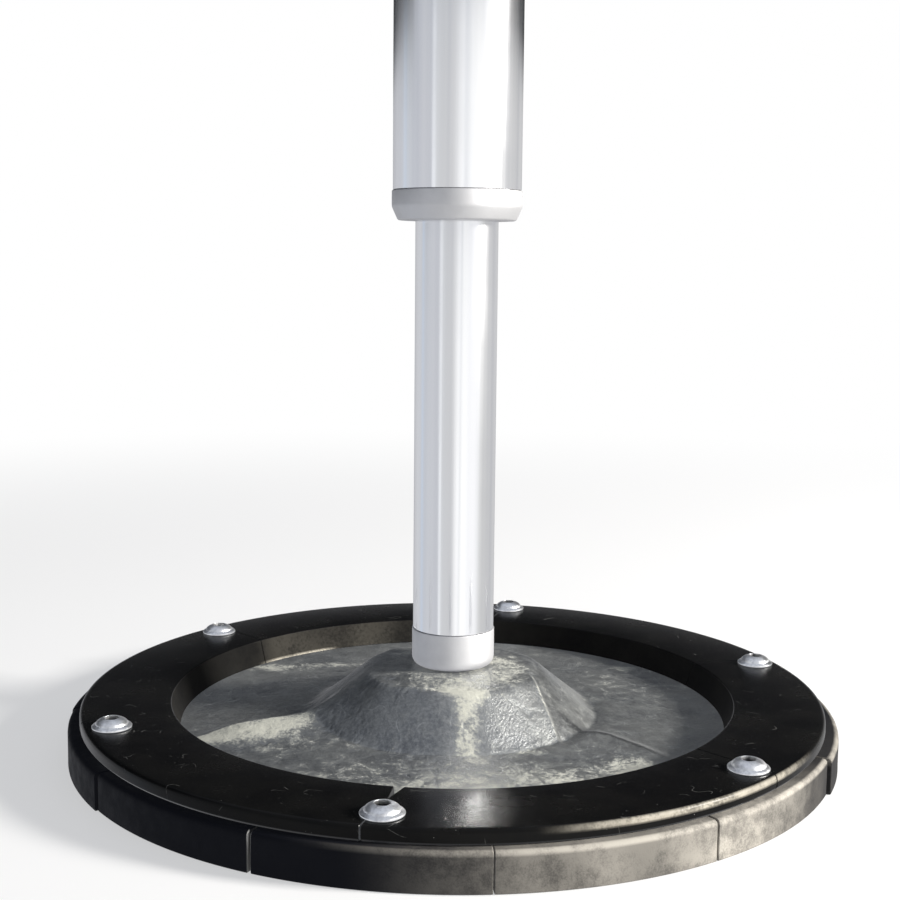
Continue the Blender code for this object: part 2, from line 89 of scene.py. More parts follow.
# Clamp ring and block sections, as the CAD has them
RING_STEP_RADIUS = 0.1885
RING_SHOULDER_EASE = 0.0028
RING_CORNER_EASE = 0.0007
RING_UNDERCUT = 0.0014
RING_OVER_PLATE = 0.0139
RING_OVER_BLOCKS = 0.0209
NOTCH_DEPTH = 0.0145
NOTCH_WIDTH = 0.0046
NOTCHED_JOINT = math.radians(-100.0)
BLOCK_DEPTH = 0.0339
GROOVE_DEPTH = 0.0093
GROOVE_LOW = 0.0073
GROOVE_HIGH = 0.0139
BLOCK_SHOULDER_EASE = 0.0030
BLOCK_FOOT_EASE = 0.0008
END_EASE = 0.0004
NUT_POCKET_RADIUS = 0.0118
NUT_POCKET_TOP = 0.0106
SCREW_BORE_RADIUS = 0.0055
# Joint that gets a painted highlight line down its end
HIGHLIGHT_JOINT = math.radians(-115.0)
CUTTER_LOW = -0.01
CUTTER_HIGH = 0.05

# Screws
SCREW_COUNT = 6
HEAD_RISE = 0.0084
FLANGE_HEIGHT = 0.0016
DOME_RADIUS = 0.0090
DOME_STEPS = 12
SHANK_RADIUS = 0.0049
SOCKET_RADIUS = 0.0042
SOCKET_DEPTH = 0.0032
SOCKET_MOUTH = 0.0006

# Scraped edge down the hub's right flank: a place on it and its slope in plan
SCRAPE_PLACE = (0.0456, -0.0208)
SCRAPE_SLOPE = 0.345

# Camera
CAMERA_PLACE = Vector((0.0, -0.847, 0.287))
CAMERA_PITCH = math.radians(7.632)
CAMERA_YAW = math.radians(-0.192)
CAMERA_ROLL = math.radians(0.526)
CAMERA_LENS = 58.0
SENSOR = 36.0

# Light
KEY_AZIMUTH = math.radians(-12.0)
KEY_ELEVATION = math.radians(23.0)
KEY_DISTANCE = 3.0
KEY_SIZE = 0.55
KEY_WATTS = 210.0
UNREFLECTED = ("cast_iron", "rubber", "ring_plastic")
DARK_CARD = (0.035, 0.037, 0.040)
CEILING = (0.50, 0.53, 0.60)
# Panels round the horizon: bearing from the camera's side, right positive, and brightness
PANELS = (
    (-180.0, (0.46, 0.46, 0.48)),
    (-130.0, (0.62, 0.63, 0.66)),
    (-112.0, (0.64, 0.65, 0.68)),
    (-105.0, (0.60, 0.68, 0.80)),
    (-98.0, (0.60, 0.62, 0.66)),
    (-60.0, (0.60, 0.61, 0.65)),
    (-46.0, (0.61, 0.62, 0.65)),
    (-41.0, (1.10, 1.12, 1.15)),
    (-36.0, (0.62, 0.63, 0.65)),
    (-8.0, (0.66, 0.66, 0.67)),
    (4.0, (1.00, 1.00, 1.00)),
    (9.0, (1.15, 1.15, 1.15)),
    (14.0, (0.86, 0.87, 0.88)),
    (20.0, (1.12, 1.12, 1.11)),
    (58.0, (1.12, 1.11, 1.10)),
    (72.0, (0.95, 0.95, 0.94)),
    (82.0, (0.62, 0.62, 0.62)),
    (130.0, (0.58, 0.58, 0.59)),
    (150.0, (0.66, 0.66, 0.66)),
    (180.0, (0.46, 0.46, 0.48)),
)


# ---- numbers and noise

NOISE_TABLE = np.random.default_rng(SEED).random(8192)


def smooth(value, low, high):
    """Smooth step from 0 at low to 1 at high."""
    t = np.clip((value - low) / (high - low), 0.0, 1.0)
    return t * t * (3.0 - 2.0 * t)


def cell_value(ix, iy, iz):
    """Random value of each lattice point."""
    return NOISE_TABLE[((ix * 73856093) ^ (iy * 19349663) ^ (iz * 83492791)) & 8191]


def value_noise(points, size):
    """Smooth noise from 0 to 1 with lumps of a given size."""
    scaled = points / size
    cell = np.floor(scaled).astype(np.int64)
    part = scaled - cell
    part = part * part * (3.0 - 2.0 * part)
    total = 0.0
    for dx in (0, 1):
        for dy in (0, 1):
            for dz in (0, 1):
                share = np.abs(1 - np.array((dx, dy, dz)) - part)
                weight = share[:, 0] * share[:, 1] * share[:, 2]
                total = total + weight * cell_value(cell[:, 0] + dx, cell[:, 1] + dy, cell[:, 2] + dz)
    return total


def rough_noise(points, size, octaves=4, gain=0.55):
    """Fractal noise around 0, about -1 to 1."""
    total, height, reach = 0.0, 1.0, 0.0
    for octave in range(octaves):
        shifted = points + 17.3 * octave * size
        total = total + height * (2.0 * value_noise(shifted, size / 2.0**octave) - 1.0)
        reach += height
        height *= gain
    return total / reach * 1.6


# ---- measuring the frame


def node_points(node):
    """Corner points of a CAD node, one row each."""
    return mesh_points(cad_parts[node])


def radii(node, low=-1.0, high=1.0):
    """Smallest and largest distance from the mast's axis of a node's corners between two heights."""
    points = node_points(node)
    points = points[(points[:, 2] >= low) & (points[:, 2] <= high)]
    distance = np.hypot(points[:, 0], points[:, 1])
    return float(distance.min()), float(distance.max())


def fitted_circle(points):
    """Centre and radius of the circle through points in plan."""
    x, y = points[:, 0], points[:, 1]
    system = np.column_stack((2.0 * x, 2.0 * y, np.ones(len(x))))
    cx, cy, rest = np.linalg.lstsq(system, x * x + y * y, rcond=None)[0]
    return np.array((cx, cy)), math.sqrt(rest + cx * cx + cy * cy)


def sector_ends(points, centre):
    """First and last direction of points round a centre."""
    x, y = points[:, 0] - centre[0], points[:, 1] - centre[1]
    middle = math.atan2(y.mean(), x.mean())
    turn = np.arctan2(y, x) - middle
    turn = (turn + math.pi) % FULL_TURN - math.pi
    return middle + turn.min(), middle + turn.max()


# ---- mesh making


def eased(outline, closed=True, steps=EASE_STEPS):
    """Outline of (radius, height, ease) corners, with each corner drawn as a short curve."""
    points = []
    last = len(outline) - 1
    for index, (radius, height, ease) in enumerate(outline):
        here = Vector((radius, height))
        if ease == 0.0 or (not closed and index in (0, last)):
            points.append(here)
            continue
        before = Vector(outline[index - 1][:2])
        after = Vector(outline[(index + 1) % len(outline)][:2])
        start = here + (before - here).normalized() * ease
        end = here + (after - here).normalized() * ease
        for step in range(steps + 1):
            t = step / steps
            points.append(start.lerp(here, t).lerp(here.lerp(end, t), t))
    return np.array([tuple(point) for point in points])


def finished(name, vertices, faces):
    """Object with a clean mesh: doubles merged, faces pointing out, smooth with sharp edges."""
    mesh = bpy.data.meshes.new(name)
    mesh.from_pydata(vertices.tolist(), [], faces)
    shape = bmesh.new()
    shape.from_mesh(mesh)
    bmesh.ops.remove_doubles(shape, verts=shape.verts, dist=1e-7)
    bmesh.ops.recalc_face_normals(shape, faces=shape.faces)
    shape.to_mesh(mesh)
    shape.free()
    made = bpy.data.objects.new(name, mesh)
    bpy.context.scene.collection.objects.link(made)
    return made


def shade(made, angle=SHARP_ANGLE):
    """Smooth shading apart from sharp edges."""
    made.data.shade_smooth()
    made.data.set_sharp_from_angle(angle=angle)
    return made


def grid_faces(rows, columns, wrap_rows, wrap_columns):
    """Quads over a grid of points stored row by row."""
    faces = []
    for i in range(rows if wrap_rows else rows - 1):
        upper, lower = i * columns, (i + 1) % rows * columns
        for j in range(columns if wrap_columns else columns - 1):
            k = (j + 1) % columns
            faces.append((upper + j, upper + k, lower + k, lower + j))
    return faces


def turned(name, outline, columns=TUBE_COLUMNS, closed=True, place=(0.0, 0.0)):
    """Outline of (radius, height) points turned about an upright axis."""
    turn = np.arange(columns) * FULL_TURN / columns
    points = np.empty((len(outline), columns, 3))
    points[:, :, 0] = place[0] + outline[:, :1] * np.cos(turn)
    points[:, :, 1] = place[1] + outline[:, :1] * np.sin(turn)
    points[:, :, 2] = outline[:, 1:]
    faces = grid_faces(len(outline), columns, closed, True)
    return shade(finished(name, points.reshape(-1, 3), faces))


def drawn_in(outline, amount):
    """Closed outline moved inwards by an amount."""
    after = np.roll(outline, -1, axis=0) - outline
    along = after / np.linalg.norm(after, axis=1, keepdims=True)
    x, y = outline[:, 0], outline[:, 1]
    area = np.sum(x * np.roll(y, -1) - np.roll(x, -1) * y)
    inward = np.column_stack((-along[:, 1], along[:, 0])) * math.copysign(1.0, area)
    before = np.roll(inward, 1, axis=0)
    share = 1.0 + np.sum(inward * before, axis=1, keepdims=True)
    return outline + amount * (inward + before) / np.maximum(share, 0.5)


def sector(name, outline, start, end, columns, centre=(0.0, 0.0), ease=END_EASE, wobble=None):
    """Closed outline swept about an upright axis from start to end, with eased ends.

    Start and end are directions, one number or one for each outline point."""
    start = np.broadcast_to(start, len(outline))
    end = np.broadcast_to(end, len(outline))
    small = drawn_in(outline, ease)
    share = np.concatenate(([0.0], np.linspace(0.0, 1.0, columns), [1.0]))
    inset = np.concatenate(([0.0], [1.0], np.zeros(columns - 2), [-1.0], [0.0]))
    points = np.empty((columns + 2, len(outline), 3))
    for row in range(columns + 2):
        section = small if row in (0, columns + 1) else outline
        turn = start + (end - start) * share[row] + inset[row] * ease / outline[:, 0]
        points[row, :, 0] = centre[0] + section[:, 0] * np.cos(turn)
        points[row, :, 1] = centre[1] + section[:, 0] * np.sin(turn)
        points[row, :, 2] = section[:, 1]
    flat = points.reshape(-1, 3)
    if wobble is not None:
        flat = wobble(flat)
    count = len(outline)
    faces = grid_faces(columns + 2, count, False, True)
    faces.append(tuple(range(count)))
    faces.append(tuple(range((columns + 1) * count, (columns + 2) * count)))
    return finished(name, flat, faces)


def cylinder_cutter(centres, radius, low, high, sides=48):
    """Upright cylinders that cut bores, as one object."""
    shape = bmesh.new()
    for x, y in centres:
        place = Matrix.Translation((x, y, 0.5 * (low + high)))
        size = {"radius1": radius, "radius2": radius, "depth": high - low}
        bmesh.ops.create_cone(shape, cap_ends=True, segments=sides, matrix=place, **size)
    mesh = bpy.data.meshes.new("cutter")
    shape.to_mesh(mesh)
    shape.free()
    made = bpy.data.objects.new("cutter", mesh)
    bpy.context.scene.collection.objects.link(made)
    return made


def cut(made, *cutters):
    """Cut a piece by other objects, for good. The uneven rim blocks need the more patient way."""
    for tool in cutters:
        step = made.modifiers.new("cut", "BOOLEAN")
        step.operation = "DIFFERENCE"
        step.solver = "EXACT"
        step.use_self = made.name.startswith("rim_block")
        step.object = tool
    seen = made.evaluated_get(bpy.context.evaluated_depsgraph_get())
    mesh = bpy.data.meshes.new_from_object(seen)
    made.modifiers.clear()
    made.data = mesh
    return made


def remove(*things):
    """Take helper objects away."""
    for thing in things:
        bpy.data.objects.remove(thing, do_unlink=True)


def store(made, name, values):
    """Keep one number for each point of a piece, for its material."""
    attribute = made.data.attributes.new(name, "FLOAT", "POINT")
    attribute.data.foreach_set("value", values.astype(np.float32))


def mesh_points(made):
    """Points of a piece, one row each."""
    flat = np.empty(3 * len(made.data.vertices), np.float32)
    made.data.vertices.foreach_get("co", flat)
    return flat.reshape(-1, 3).astype(float)


def settle(made, body, slot_name, material, *nodes):
    """Give a finished piece its body and material, hide the CAD nodes that it stands for, and keep it out of
    reflections when its slot name is in UNREFLECTED.
    """
    made.visible_glossy = slot_name not in UNREFLECTED
    made.data.materials.clear()
    made.data.materials.append(material)
    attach(made, body)
    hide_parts(*nodes)
    return made


# ---- materials


class Nodes:
    """Short ways to add nodes to one tree."""

    def __init__(self, tree):
        self.tree = tree

    def add(self, kind):
        """New node of a kind."""
        return self.tree.nodes.new("ShaderNode" + kind)

    def put(self, socket, value):
        """Set a socket to a number, a colour or another socket."""
        if isinstance(value, bpy.types.NodeSocket):
            self.tree.links.new(value, socket)
        elif isinstance(value, tuple) and len(value) == 3 and socket.type == "RGBA":
            socket.default_value = (*value, 1.0)
        else:
            socket.default_value = value

    def maths(self, operation, a, b=0.0):
        """One sum."""
        made = self.add("Math")
        made.operation = operation
        self.put(made.inputs[0], a)
        self.put(made.inputs[1], b)
        return made.outputs[0]

    def step(self, value, low, high, to_low=0.0, to_high=1.0):
        """Smooth change from to_low to to_high between two values."""
        made = self.add("MapRange")
        made.interpolation_type = "SMOOTHSTEP"
        for socket, number in zip(made.inputs[:5], (value, low, high, to_low, to_high)):
            self.put(socket, number)
        return made.outputs[0]

    def mix(self, share, a, b):
        """Colour between two colours."""
        made = self.add("Mix")
        made.data_type = "RGBA"
        self.put(made.inputs["Factor"], share)
        self.put(made.inputs[6], a)
        self.put(made.inputs[7], b)
        return made.outputs[2]

    def choose(self, share, a, b):
        """Shader between two shaders."""
        made = self.add("MixShader")
        for socket, value in zip(made.inputs, (share, a, b)):
            self.put(socket, value)
        return made.outputs[0]

    def axes(self, output):
        """The three parts of a place."""
        split = self.add("SeparateXYZ")
        self.put(split.inputs[0], self.add("TexCoord").outputs[output])
        return split.outputs


class Surface(Nodes):
    """One procedural material on a Principled shader."""

    def __init__(self, name, colour, roughness, metallic=0.0, specular=0.5):
        self.material = bpy.data.materials.new(name)
        self.material.use_nodes = True
        super().__init__(self.material.node_tree)
        self.shader = self.tree.nodes["Principled BSDF"]
        self.shader.inputs["Base Color"].default_value = (*colour, 1.0)
        self.shader.inputs["Roughness"].default_value = roughness
        self.shader.inputs["Metallic"].default_value = metallic
        self.shader.inputs["Specular IOR Level"].default_value = specular
        self.place = self.add("TexCoord").outputs["Object"]
        self.normal = None

    def stretched(self, x, y, z):
        """Place with each axis scaled."""
        mapping = self.add("Mapping")
        self.put(mapping.inputs["Vector"], self.place)
        mapping.inputs["Scale"].default_value = (x, y, z)
        return mapping.outputs["Vector"]

    def noise(self, scale, detail=4.0, roughness=0.55, vector=None, distortion=0.0):
        """Noise value, with lumps about 1/scale metres across."""
        made = self.add("TexNoise")
        self.put(made.inputs["Vector"], vector or self.place)
        made.inputs["Scale"].default_value = scale
        made.inputs["Detail"].default_value = detail
        made.inputs["Roughness"].default_value = roughness
        made.inputs["Distortion"].default_value = distortion
        return made.outputs["Fac"]

    def cells(self, scale):
        """Distance to the nearest of scattered points."""
        made = self.add("TexVoronoi")
        self.put(made.inputs["Vector"], self.place)
        made.inputs["Scale"].default_value = scale
        return made.outputs["Distance"]

    def scratches(self, scale, width, vector=None):
        """Thin curved lines, the level line of a smooth noise."""
        level = self.noise(scale, 1.0, 0.5, vector=vector)
        return self.step(self.maths("ABSOLUTE", self.maths("SUBTRACT", level, 0.5)), width, 0.3 * width)

    def stored(self, name):
        """Number kept on the mesh."""
        made = self.add("Attribute")
        made.attribute_name = name
        return made.outputs["Fac"]

    def bump(self, height, distance, strength=1.0):
        """Add relief of a given depth in metres."""
        made = self.add("Bump")
        made.inputs["Strength"].default_value = strength
        made.inputs["Distance"].default_value = distance
        self.put(made.inputs["Height"], height)
        if self.normal is not None:
            self.put(made.inputs["Normal"], self.normal)
        self.normal = made.outputs["Normal"]

    def done(self, colour=None, roughness=None, metallic=None):
        """Link what varies over the surface and return the material."""
        for name, value in (("Base Color", colour), ("Roughness", roughness), ("Metallic", metallic)):
            if value is not None:
                self.put(self.shader.inputs[name], value)
        if self.normal is not None:
            self.put(self.shader.inputs["Normal"], self.normal)
        return self.material


def galvanised_iron():
    """Grey zinc-coated casting, with pale oxide, scraped patches and a fine grain, plus a painted highlight
    streak and painted shade from the stored masks.
    """
    s = Surface("galvanised_iron", (0.30, 0.31, 0.32), 0.5, 0.8)
    cloud = s.noise(22.0, 5.0, 0.6)
    mottle = s.noise(120.0, 6.0, 0.68, distortion=0.4)
    grain = s.noise(520.0, 4.0, 0.7)
    streaks = s.noise(1.0, 5.0, 0.65, vector=s.stretched(700.0, 110.0, 700.0))
    dust_and_painted_light = s.stored("dust_and_painted_light")
    scar = s.stored("scar")
    painted_shade = s.stored("painted_shade")
    metal = s.mix(s.step(cloud, 0.35, 0.65), (0.190, 0.200, 0.212), (0.305, 0.312, 0.308))
    metal = s.mix(s.step(mottle, 0.45, 0.75, 0.0, 0.5), metal, (0.37, 0.38, 0.37))
    metal = s.mix(s.step(grain, 0.35, 0.65, 0.32, 0.0), metal, (0.50, 0.51, 0.49))
    scraped = s.maths("MULTIPLY", scar, s.step(streaks, 0.44, 0.62, 0.0, 0.55))
    metal = s.mix(scraped, metal, (0.30, 0.31, 0.31))
    drawn_out = s.stretched(50.0, 20.0, 30.0)
    hairs = s.maths("MAXIMUM", s.scratches(34.0, 0.006), s.scratches(1.0, 0.006, drawn_out))
    hairs = s.maths("MULTIPLY", hairs, s.step(s.noise(70.0, 3.0), 0.50, 0.60))
    metal = s.mix(s.maths("MULTIPLY", hairs, 0.45), metal, (0.60, 0.61, 0.60))
    # The pale film is real oxide plus a painted highlight streak, thinned on the hub's shaded side as
    # painted shade
    oxide_and_painted_light = s.maths("ADD", dust_and_painted_light, s.maths("MULTIPLY", s.maths("SUBTRACT", mottle, 0.5), 1.3))
    oxide_and_painted_light = s.maths("ADD", oxide_and_painted_light, s.maths("MULTIPLY", s.maths("SUBTRACT", grain, 0.5), 1.5))
    oxide_and_painted_light = s.step(oxide_and_painted_light, 0.30, 0.95)
    colour = s.mix(oxide_and_painted_light, metal, (0.50, 0.50, 0.44))
    # Painted shade: the stored mask darkens creases, the flank face and the hub's shaded side
    painted_shade = s.maths("MULTIPLY", painted_shade, s.step(grain, 0.3, 0.6, 0.6, 1.0))
    colour = s.mix(painted_shade, colour, (0.05, 0.053, 0.058))
    roughness = s.maths("ADD", s.step(mottle, 0.3, 0.7, 0.36, 0.50), s.maths("MULTIPLY", oxide_and_painted_light, 0.3))
    metallic = s.step(oxide_and_painted_light, 0.0, 1.0, 0.82, 0.20)
    s.bump(cloud, 0.0010, 0.6)
    s.bump(mottle, 0.0006, 0.8)
    s.bump(s.maths("MULTIPLY", streaks, scar), 0.0005)
    s.bump(grain, 0.00025, 0.8)
    return s.done(colour, roughness, metallic)


def ring_plastic():
    """Black satin plastic with marks that run round it, fine scratches and specks of dust, and a pale film
    that paints light on the inner wall and a highlight along the outer edge.
    """
    s = Surface("ring_plastic", (0.004, 0.004, 0.004), 0.22, 0.0, 0.10)
    squares = [s.maths("POWER", part, 2.0) for part in s.axes("Object")[:2]]
    joined = s.add("CombineXYZ")
    s.put(joined.inputs[0], s.maths("SQRT", s.maths("ADD", *squares)))
    rounds = s.noise(1100.0, 3.0, 0.7, vector=joined.outputs[0])
    cloud = s.noise(30.0, 4.0, 0.6)
    grain = s.noise(500.0, 4.0, 0.7)
    specks = s.step(s.cells(330.0), 0.085, 0.04)
    specks = s.maths("MULTIPLY", specks, s.step(s.noise(150.0, 3.0), 0.56, 0.62))
    hairs = s.maths("MAXIMUM", s.scratches(30.0, 0.004), s.scratches(55.0, 0.005))
    hairs = s.maths("MULTIPLY", hairs, s.step(s.noise(80.0, 3.0), 0.58, 0.64))
    marks = s.maths("MAXIMUM", specks, s.maths("MULTIPLY", hairs, 0.35))
    matt = s.stored("matt")
    marks = s.maths("MULTIPLY", marks, s.maths("SUBTRACT", 1.0, matt))
    colour = s.mix(s.step(cloud, 0.35, 0.7), (0.0032, 0.0032, 0.0034), (0.0060, 0.0058, 0.0054))
    colour = s.mix(s.maths("MULTIPLY", marks, 0.5), colour, (0.38, 0.38, 0.36))
    patchy = s.step(s.maths("ADD", cloud, grain), 0.70, 1.15, 0.35, 1.0)
    # Painted light from the stored mask: lit inner wall, and a highlight along the outer edge
    dust_and_light_film = s.maths("MULTIPLY", s.stored("dust_and_painted_light"), patchy)
    colour = s.mix(dust_and_light_film, colour, (0.40, 0.37, 0.31))
    roughness = s.maths("ADD", s.step(cloud, 0.3, 0.7, 0.21, 0.28), s.maths("MULTIPLY", dust_and_light_film, 0.2))
    roughness = s.maths("MAXIMUM", roughness, s.maths("MULTIPLY", matt, 0.95))
    s.bump(rounds, 0.00003, 0.5)
    s.bump(grain, 0.00003, 0.5)
    return s.done(colour, roughness)


def rubber():
    """Black rubber with a mottled skin and a pale dust film, painted lighter on the side facing the light,
    with painted highlights on the top shoulder and one joint.
    """
    s = Surface("rubber", (0.014, 0.014, 0.016), 0.5, 0.0, 0.07)
    cloud = s.noise(26.0, 5.0, 0.6)
    mottle = s.noise(120.0, 5.0, 0.65)
    grain = s.noise(1100.0, 2.0, 0.6)
    dust_and_painted_light = s.stored("dust_and_painted_light")
    joint_highlight = s.stored("joint_highlight")
    patchy = s.maths("ADD", cloud, s.maths("MULTIPLY", mottle, 0.8))
    patchy = s.maths("ADD", patchy, s.maths("MULTIPLY", grain, 0.4))
    # Pale film: dust, painted lighter where the wall faces the light
    dust_and_light_film = s.maths("MULTIPLY", dust_and_painted_light, s.step(patchy, 0.80, 1.30, 0.38, 1.0))
    colour = s.mix(dust_and_light_film, (0.005, 0.0056, 0.0085), (0.42, 0.395, 0.35))
    # Painted highlight from the stored mask: a near-white line down one joint
    colour = s.mix(joint_highlight, colour, (0.80, 0.79, 0.76))
    roughness = s.maths("ADD", s.step(mottle, 0.3, 0.7, 0.52, 0.66), s.maths("MULTIPLY", dust_and_light_film, 0.15))
    s.bump(cloud, 0.0006, 0.4)
    s.bump(mottle, 0.0003, 0.5)
    s.bump(grain, 0.00006, 0.6)
    return s.done(colour, roughness)


def bright_zinc():
    """Plated steel: bright, cloudy, with fine marks, and coloured dark inside the sockets."""
    s = Surface("bright_zinc", (0.86, 0.87, 0.89), 0.3, 1.0)
    cloud = s.noise(210.0, 5.0, 0.65)
    grain = s.noise(1500.0, 3.0, 0.6)
    colour = s.mix(s.step(cloud, 0.35, 0.65), (0.95, 0.96, 0.97), (0.62, 0.63, 0.65))
    colour = s.mix(s.stored("dark_socket"), colour, (0.06, 0.06, 0.06))
    roughness = s.step(s.maths("ADD", cloud, s.maths("MULTIPLY", grain, 0.3)), 0.45, 0.85, 0.28, 0.52)
    s.bump(cloud, 0.0006, 0.8)
    s.bump(grain, 0.00004, 0.6)
    return s.done(colour, roughness)


def drawn_aluminium():
    """Polished tube with fine lines along its length."""
    s = Surface("drawn_aluminium", (0.93, 0.935, 0.95), 0.16, 1.0)
    lines = s.noise(1.0, 3.0, 0.7, vector=s.stretched(620.0, 620.0, 1.2))
    bands = s.noise(1.0, 2.0, 0.5, vector=s.stretched(120.0, 120.0, 0.6))
    haze = s.noise(9.0, 4.0, 0.6)
    scuffs = s.step(s.cells(160.0), 0.10, 0.03)
    sparse = s.step(s.noise(24.0, 3.0), 0.62, 0.75)
    colour = s.mix(s.step(bands, 0.35, 0.65), (0.95, 0.955, 0.965), (0.86, 0.87, 0.90))
    marks = s.maths("MULTIPLY", s.maths("MULTIPLY", scuffs, sparse), 0.5)
    colour = s.mix(marks, colour, (0.60, 0.61, 0.63))
    roughness = s.maths("ADD", s.step(haze, 0.3, 0.7, 0.10, 0.17), s.maths("MULTIPLY", lines, 0.10))
    s.bump(bands, 0.00025, 0.6)
    s.bump(lines, 0.00004, 0.6)
    return s.done(colour, roughness)


def pale_plastic():
    """Moulded pale grey plastic."""
    s = Surface("pale_plastic", (0.70, 0.70, 0.71), 0.50, 0.96, 0.5)
    cloud = s.noise(40.0, 4.0, 0.6)
    grain = s.noise(1300.0, 2.0, 0.6)
    colour = s.mix(s.step(cloud, 0.3, 0.7), (0.67, 0.67, 0.68), (0.61, 0.61, 0.62))
    roughness = s.step(cloud, 0.3, 0.7, 0.52, 0.60)
    s.bump(cloud, 0.0003, 0.4)
    s.bump(grain, 0.00003, 0.5)
    return s.done(colour, roughness)


def nylon():
    """Off-white sliding plastic."""
    s = Surface("nylon", (0.74, 0.73, 0.69), 0.42, 0.0, 0.5)
    cloud = s.noise(50.0, 4.0, 0.6)
    grain = s.noise(1200.0, 2.0, 0.6)
    colour = s.mix(s.step(cloud, 0.3, 0.7), (0.76, 0.75, 0.71), (0.66, 0.65, 0.60))
    roughness = s.step(grain, 0.3, 0.7, 0.36, 0.50)
    s.bump(grain, 0.00005, 0.6)
    return s.done(colour, roughness)


# ---- iron plate


def polar(x, y):
    """Distance from the axis, and direction."""
    return np.hypot(x, y), np.arctan2(y, x)


def angle_between(turn, direction):
    """Signed angle from a direction, within half a turn."""
    return (turn - direction + math.pi) % FULL_TURN - math.pi


def hub_section(radius, top, plate_top):
    """Height of the hub and its skirt, with softened corners."""
    heights = (top, top, HUB_SHOULDER_Z, HUB_BASE_Z, plate_top, plate_top)
    total = 0.0
    offsets = np.linspace(-2.0, 2.0, 9)
    weights = np.exp(-0.5 * offsets**2)
    width = HUB_SOFTENING * (0.25 + smooth(radius, 0.030, 0.045) + 1.5 * smooth(radius, 0.08, 0.13))
    for offset, weight in zip(offsets, weights / weights.sum()):
        total = total + weight * np.interp(radius + offset * width, HUB_PROFILE_RADII, heights)
    return total


def rib_place(x, y, direction, crest):
    """How far along a rib, and how far across it from its crest."""
    along = x * math.cos(direction) + y * math.sin(direction)
    across = -x * math.sin(direction) + y * math.cos(direction)
    return along, across - np.interp(along, *zip(*crest))


def from_scrape(x, y):
    """Distance along x from the scraped edge."""
    return (x - SCRAPE_PLACE[0]) - SCRAPE_SLOPE * (SCRAPE_PLACE[1] - y)


def band(value, middle, width):
    """Soft band, 1 at its middle."""
    return np.exp(-(((value - middle) / width) ** 2))


def rib_height(x, y, direction, crest, steep_side):
    """Low rib with a bent crest that falls away gently on one side and steeply on the other."""
    along, across = rib_place(x, y, direction, crest)
    across = steep_side * across
    gentle = band(np.minimum(across, 0.0), 0.0, 0.024)
    steep = band(np.maximum(across, 0.0), 0.0, 0.0065)
    return gentle * steep * smooth(along, 0.060, 0.088) * (1.0 - smooth(along, 0.124, 0.160))


def plate_surface(x, y, top, plate_top):
    """Height of the plate's upper side."""
    flat = np.column_stack((x, y, np.zeros(len(x))))
    radius, turn = polar(x, y)
    wander = rough_noise(flat, 0.045, 2)
    height = hub_section(radius + 0.0016 * wander * smooth(radius, 0.036, 0.050), top, plate_top)
    for direction, size, steep_side, crest in RIBS:
        height = height + size * rib_height(x, y, direction, crest, steep_side)

    # A scraped edge down the hub's flank, and a narrow face that drops away beside it
    edge = from_scrape(x, y)
    on_flank = smooth(radius, 0.046, 0.052) * (1.0 - smooth(radius, 0.084, 0.094))
    on_flank = on_flank * smooth(turn, math.radians(-60.0), math.radians(-50.0))
    on_flank = on_flank * (1.0 - smooth(turn, math.radians(5.0), math.radians(30.0)))
    raised = 0.0010 * np.exp(-np.abs(edge) / 0.0022) - 0.0016 * smooth(edge, 0.0, 0.0035)
    height = height + on_flank * raised

    # Beads along the hub's brow and its foot, then the casting's own unevenness
    brow = band(radius, 0.0500, 0.0045)
    foot = band(radius, HUB_PROFILE_RADII[3], 0.0040)
    aside = np.abs(angle_between(turn, math.radians(-75.0)))
    front = 1.0 - smooth(aside, math.radians(60.0), math.radians(100.0))
    height = height + 0.0007 * brow * rough_noise(flat, 0.009, 3) * (0.4 + 0.6 * front)
    height = height + 0.0006 * foot * rough_noise(flat + 0.3, 0.010, 3)
    height = height - 0.0006 * band(radius, 0.0858, 0.0016) * front
    lumps = rough_noise(flat + 0.7, 0.030, 4)
    pits = np.maximum(rough_noise(flat + 1.9, 0.006, 2) - 0.55, 0.0)
    quiet = smooth(radius, SEAT_RADIUS, 0.036) * (1.0 - smooth(radius, 0.146, 0.159))
    return height + quiet * (0.00045 * lumps - 0.0006 * pits)


